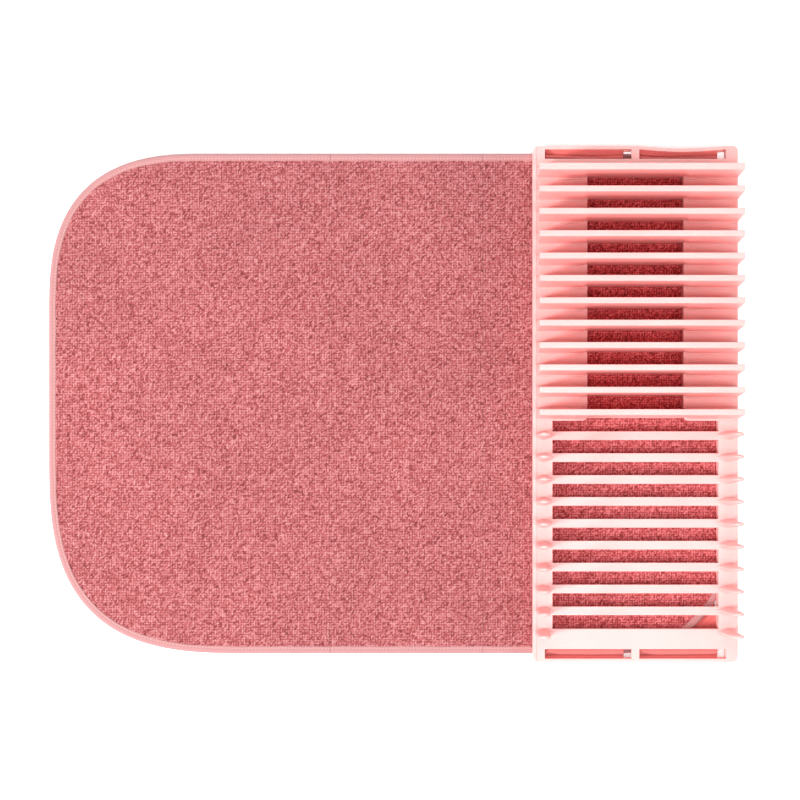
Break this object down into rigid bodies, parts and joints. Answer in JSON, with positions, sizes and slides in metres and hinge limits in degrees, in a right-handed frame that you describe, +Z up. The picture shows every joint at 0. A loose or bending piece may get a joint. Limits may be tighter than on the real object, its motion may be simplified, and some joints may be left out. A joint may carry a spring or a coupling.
{
  "type": "dish drying rack with drying mat",
  "caption": "Plate rack with full-width walls and rows of tines, held by fabric straps on an end of a round-cornered, foam-filled drying mat that folds up over it.",
  "frame": {"origin": "middle of the whole set's footprint, on the surface it stands on", "axes": "+X along the mat towards the end that carries the rack, +Y along the rack towards its plate walls, +Z up"},
  "size_m": [0.618, 0.461, 0.07],
  "materials": {
    "rack_plastic": "satin moulded plastic",
    "mat_top": "looped microfibre pile",
    "mat_underside": "flat knitted microfibre",
    "foam": "open-cell foam",
    "binding_tape": "folded woven tape with a stitched inner edge",
    "strap_tape": "woven tape"
  },
  "bodies": {
    "rack_and_base": {"rail_inner": "rack_plastic", "rail_outer": "rack_plastic", "tray_inner": "rack_plastic", "tray_outer": "rack_plastic", "end_plate_far": "rack_plastic", "end_plate_near": "rack_plastic", "plate_wall_01": "rack_plastic", "plate_wall_02": "rack_plastic", "plate_wall_03": "rack_plastic", "plate_wall_04": "rack_plastic", "plate_wall_05": "rack_plastic", "plate_wall_06": "rack_plastic", "plate_wall_07": "rack_plastic", "plate_wall_08": "rack_plastic", "plate_wall_09": "rack_plastic", "plate_wall_10": "rack_plastic", "plate_wall_11": "rack_plastic", "plate_wall_12": "rack_plastic", "tine_frame_13": "rack_plastic", "tine_frame_14": "rack_plastic", "tine_frame_15": "rack_plastic", "tine_frame_16": "rack_plastic", "tine_frame_17": "rack_plastic", "tine_frame_18": "rack_plastic", "tine_frame_19": "rack_plastic", "tine_frame_20": "rack_plastic", "tine_frame_21": "rack_plastic", "end_tine_inner": "rack_plastic", "end_tine_outer": "rack_plastic", "strap_rod_far_inner": "rack_plastic", "strap_rod_far_outer": "rack_plastic", "strap_rod_near_inner": "rack_plastic", "strap_rod_near_outer": "rack_plastic", "strap_far_inner": "strap_tape", "strap_far_outer": "strap_tape", "strap_near_inner": "strap_tape", "strap_near_outer": "strap_tape", "base_panel_bottom_fabric": "mat_underside", "base_panel_foam_core": "foam", "base_panel_top_fabric": "mat_top", "base_panel_binding": "binding_tape"},
    "side_panel": {"side_panel_bottom_fabric": "mat_underside", "side_panel_foam_core": "foam", "side_panel_top_fabric": "mat_top", "side_panel_binding_far": "binding_tape", "side_panel_binding_near": "binding_tape"},
    "cover_panel": {"cover_panel_bottom_fabric": "mat_underside", "cover_panel_foam_core": "foam", "cover_panel_top_fabric": "mat_top", "cover_panel_binding_far": "binding_tape", "cover_panel_binding_near": "binding_tape"},
    "flap_panel": {"flap_panel_bottom_fabric": "mat_underside", "flap_panel_foam_core": "foam", "flap_panel_top_fabric": "mat_top", "flap_panel_binding": "binding_tape"}
  },
  "joints": [
    {"name": "side_fold", "type": "hinge", "parent": "rack_and_base", "child": "side_panel", "pos_m": [0.121, 0, 0.0063], "axis": [0, 1, 0], "range_deg": [0, 90]},
    {"name": "cover_fold", "type": "hinge", "parent": "side_panel", "child": "cover_panel", "pos_m": [0.043, 0, 0.0063], "axis": [0, 1, 0], "range_deg": [0, 90]},
    {"name": "flap_fold", "type": "hinge", "parent": "cover_panel", "child": "flap_panel", "pos_m": [-0.153, 0, 0.0063], "axis": [0, 1, 0], "range_deg": [0, 180]}
  ]
}
